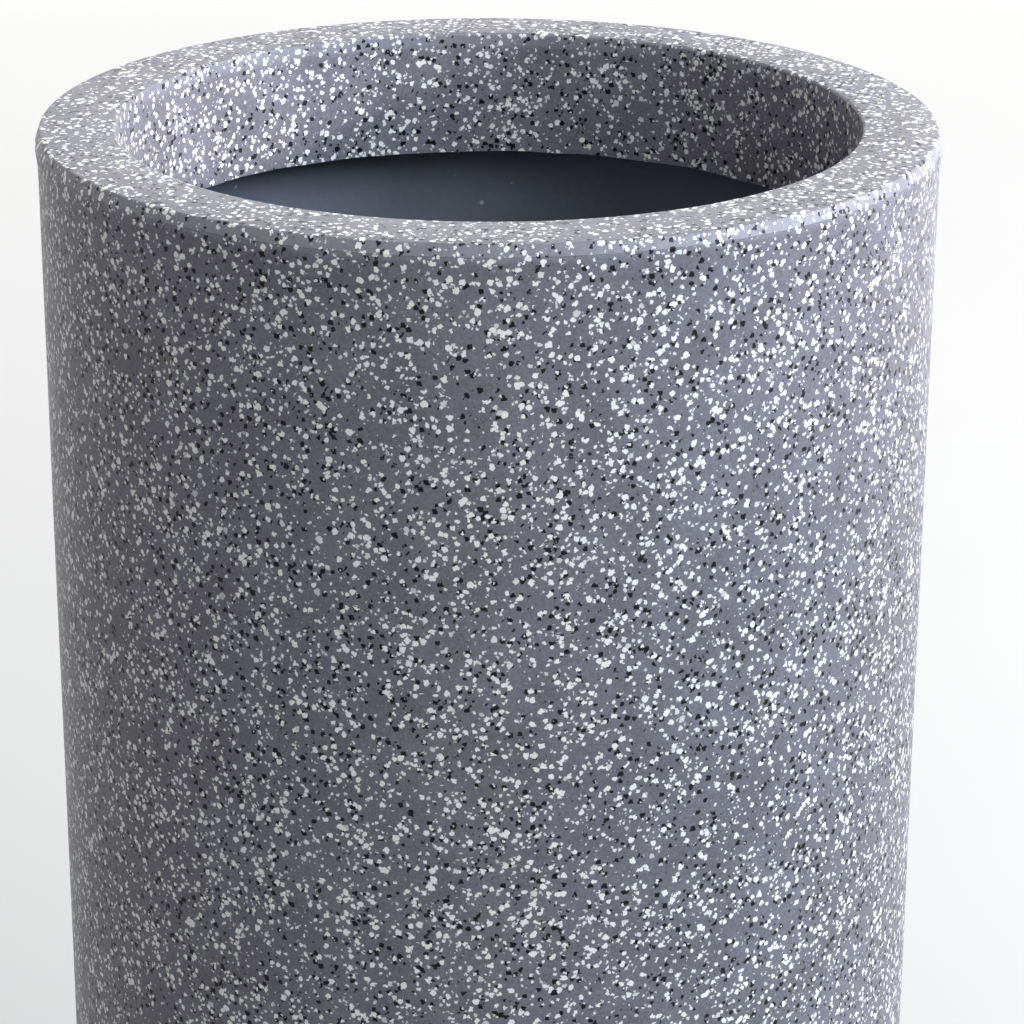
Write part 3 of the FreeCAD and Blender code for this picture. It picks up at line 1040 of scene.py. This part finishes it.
# %% [markdown]
# ## Metals
#
# The hoops are galvanised wire: zinc freezes in small crystals, each a little lighter or duller than
# the next, so a cell pattern sets colour and gloss. Pins and screws are plain steel with fine
# machining lines, and the threaded inserts are brass with the same.

# %% Wire, steel and brass
zinc_dark = (0.40, 0.42, 0.44, 1)
zinc_light = (0.58, 0.60, 0.62, 1)
zinc_dulled = (0.30, 0.31, 0.32, 1)

zinc_wire = Finish("zinc_wire", roughness=0.4, metallic=1.0)
spangle_places = stir(zinc_wire, 1.5 * mm, 2.0 * mm, (0.2, 0.4, 0.6))
wires = {"Vector": spangle_places, "Scale": 1 / (2.6 * mm)}
spangle = zinc_wire.add("ShaderNodeTexVoronoi", wires, feature="F1").outputs["Color"]
tone = zinc_wire.add("ShaderNodeSeparateXYZ", {0: spangle}).outputs
zinc = zinc_wire.blend(tone[0], zinc_dark, zinc_light)
dulled = zinc_wire.span(zinc_wire.noise(8 * mm, 4.0)["Fac"], 0.55, 0.75, 0.0, 0.6)
zinc_wire.colour(zinc_wire.blend(dulled, zinc, zinc_dulled))
zinc_wire.roughness(zinc_wire.span(tone[1], 0, 1, 0.32, 0.52))
zinc_wire.bump(zinc_wire.noise(1.2 * mm, 3.0)["Fac"], 0.08 * mm)
dress(zinc_wire, "handle_front", "handle_back")


def machined_metal(name, dark, light, roughness):
    """Bright metal with fine lines from the tool that cut it."""
    finish = Finish(name, roughness, metallic=1.0)
    lines = finish.noise(0.5 * mm, 4.0, finish.stretch((0.2, 1.0, 1.0)))["Fac"]
    stain = finish.noise(5 * mm, 3.0)["Fac"]
    finish.colour(finish.blend(finish.span(stain, 0.35, 0.65), (*dark, 1), (*light, 1)))
    finish.roughness(finish.span(lines, 0.3, 0.7, roughness - 0.08, roughness + 0.1))
    finish.bump(lines, 0.03 * mm)
    return finish


turned_steel = machined_metal(
    "turned_steel", dark=(0.50, 0.50, 0.51), light=(0.62, 0.62, 0.63), roughness=0.32
)
dress(turned_steel, "foot_screws", "handle_pins")
turned_brass = machined_metal(
    "turned_brass", dark=(0.58, 0.42, 0.17), light=(0.70, 0.53, 0.24), roughness=0.30
)
dress(turned_brass, "foot_thread_inserts")

# %% [markdown]
# ## The floor
#
# A large pale floor carries the planter's shadow. It is one plane, wide enough that its edge is far
# outside any view. Rays that look at it directly, or in a reflection, see it glow, more the farther it
# is, so that it meets the white sky without a line. Lighting rays don't see the glow, so it adds no
# light. From below the floor is clear, to show the underside.

# %% Floor
floor_side = 24
floor_dark = (0.35, 0.348, 0.345, 1)
floor_light = (0.37, 0.368, 0.365, 1)
glow_colour = (1.0, 0.99, 0.98, 1)


def looked_at(board):
    """One for rays that come straight from the camera, a reflection or glass, and zero for the rest."""
    rays = board.nodes.new("ShaderNodeLightPath").outputs
    seen = rays["Is Camera Ray"]
    for other in ("Is Glossy Ray", "Is Transmission Ray"):
        either = board.nodes.new("ShaderNodeMath")
        either.operation = "MAXIMUM"
        board.links.new(seen, either.inputs[0])
        board.links.new(rays[other], either.inputs[1])
        seen = either.outputs[0]
    return seen


put_down()
bpy.ops.mesh.primitive_plane_add(size=floor_side, location=(0, 0, 0))
studio_floor = bpy.context.object
studio_floor.name = "studio_floor"
floor_paint = Finish("floor_paint", roughness=0.8, specular=0.2)
cast = floor_paint.noise(0.4, 3.0)["Fac"]
floor_paint.colour(floor_paint.blend(cast, floor_dark, floor_light))
floor_paint.shader.inputs["Emission Color"].default_value = glow_colour
away = floor_paint.add("ShaderNodeVectorMath", {0: floor_paint.place}, operation="LENGTH").outputs["Value"]
glow = floor_paint.span(away, 0.5, 4.5, 0.06, 0.76)
glow = floor_paint.sum("MULTIPLY", looked_at(floor_paint.tree), glow)
floor_paint.join(floor_paint.shader.inputs["Emission Strength"], glow)
from_below = floor_paint.add("ShaderNodeNewGeometry").outputs["Backfacing"]
clear = floor_paint.add("ShaderNodeBsdfTransparent").outputs[0]
either = floor_paint.add("ShaderNodeMixShader", {0: from_below, 1: floor_paint.shader.outputs[0], 2: clear})
floor_paint.join(floor_paint.tree.nodes["Material Output"].inputs["Surface"], either.outputs[0])
studio_floor.data.materials.append(floor_paint.material)
print("Floor:", [round(side, 1) for side in studio_floor.dimensions])

# %% [markdown]
# ## The sky
#
# The walls and the ceiling of a room send light back from everywhere, and an even sky stands in for
# them. Two backgrounds are mixed: lighting rays get the dimmer one, and rays that look at the sky see
# plain white behind the planter.

# %% Sky
scene = bpy.context.scene
scene.world = bpy.data.worlds.new("studio_sky")
scene.world.use_nodes = True
sky = scene.world.node_tree
sky.nodes.clear()
even = sky.nodes.new("ShaderNodeBackground")
even.inputs["Color"].default_value = (0.98, 0.99, 1.0, 1)
even.inputs["Strength"].default_value = 0.6
white = sky.nodes.new("ShaderNodeBackground")
white.inputs["Color"].default_value = (1, 1, 1, 1)
white.inputs["Strength"].default_value = 1.0
choice = sky.nodes.new("ShaderNodeMixShader")
sky.links.new(looked_at(sky), choice.inputs[0])
sky.links.new(even.outputs[0], choice.inputs[1])
sky.links.new(white.outputs[0], choice.inputs[2])
end = sky.nodes.new("ShaderNodeOutputWorld")
sky.links.new(choice.outputs[0], end.inputs[0])
print("Sky nodes:", len(sky.nodes))

# %% [markdown]
# ## The lamps
#
# The light is plain and soft, as in a room with its window on the right: two wide lamps for the
# window, one of them tinted by the sky, a weaker one nearer the camera and one overhead for the room,
# and a faint one behind that gives the flat rim its sheen. A narrow beam from the window's side reaches
# over the rim and lights the far left of the lip. Area lamps are used because their size sets how soft
# a shadow's edge is.

# %% Lamps
upper_wall = (0, 0, 0.7)
rim_middle = (0, 0, 0.8)
lip_far_left = (-0.1, 0.07, 0.775)
window_size = (1.6, 1.4)


def hang_lamp(name, place, target, size, watts, colour=(1, 1, 1), spread=180):
    """A soft lamp of a given width and height, turned towards a target, with its spread in degrees."""
    lamp = bpy.data.lights.new(name, "AREA")
    lamp.shape = "RECTANGLE"
    lamp.size, lamp.size_y = size
    lamp.energy = watts
    lamp.spread = math.radians(spread)
    lamp.color = colour
    holder = bpy.data.objects.new(name, lamp)
    holder.location = place
    holder.rotation_euler = (Vector(target) - Vector(place)).to_track_quat("-Z", "Y").to_euler()
    holder.visible_camera = False
    scene.collection.objects.link(holder)
    return holder


hang_lamp("window_lamp", (2.44, 0.89, 2.1), upper_wall, window_size, watts=110, colour=(1.0, 0.99, 0.95))
hang_lamp("sky_lamp", (2.51, -0.67, 2.1), upper_wall, window_size, watts=76, colour=(0.64, 0.76, 1.0))
hang_lamp("room_lamp", (1.84, -1.84, 2.4), upper_wall, window_size, watts=66, colour=(0.92, 0.96, 1.0))
hang_lamp("beam_lamp", (2.31, -0.32, 1.295), lip_far_left, (0.45, 0.10), watts=0.50, spread=12)
hang_lamp("ceiling_lamp", (0, 0.2, 3.3), rim_middle, (2.0, 2.0), watts=36, colour=(1.0, 0.97, 0.88))
hang_lamp("back_lamp", (-0.2, 3.0, 1.9), rim_middle, (3.0, 1.6), watts=9)
print("Lamps:", [light.name for light in bpy.data.lights])

# %% [markdown]
# ## The camera
#
# The camera stands a little above the rim and looks down into the mouth. A long lens from some way off
# keeps the wall's sides almost parallel and shows the rim as a wide, flat ellipse. The small turns about
# the other two axes set the rim where it belongs in the frame and level it.

# %% Camera
camera = bpy.data.cameras.new("camera")
camera.sensor_width = 36
camera.lens = 127.582
camera_holder = bpy.data.objects.new("camera", camera)
camera_holder.location = (0, -1.5668, 1.2018)
camera_holder.rotation_euler = (math.radians(69.4203), math.radians(-0.1956), math.radians(-0.3218))
scene.collection.objects.link(camera_holder)
scene.camera = camera_holder
scene.view_settings.view_transform = "Standard"
print("Camera lens:", camera.lens)
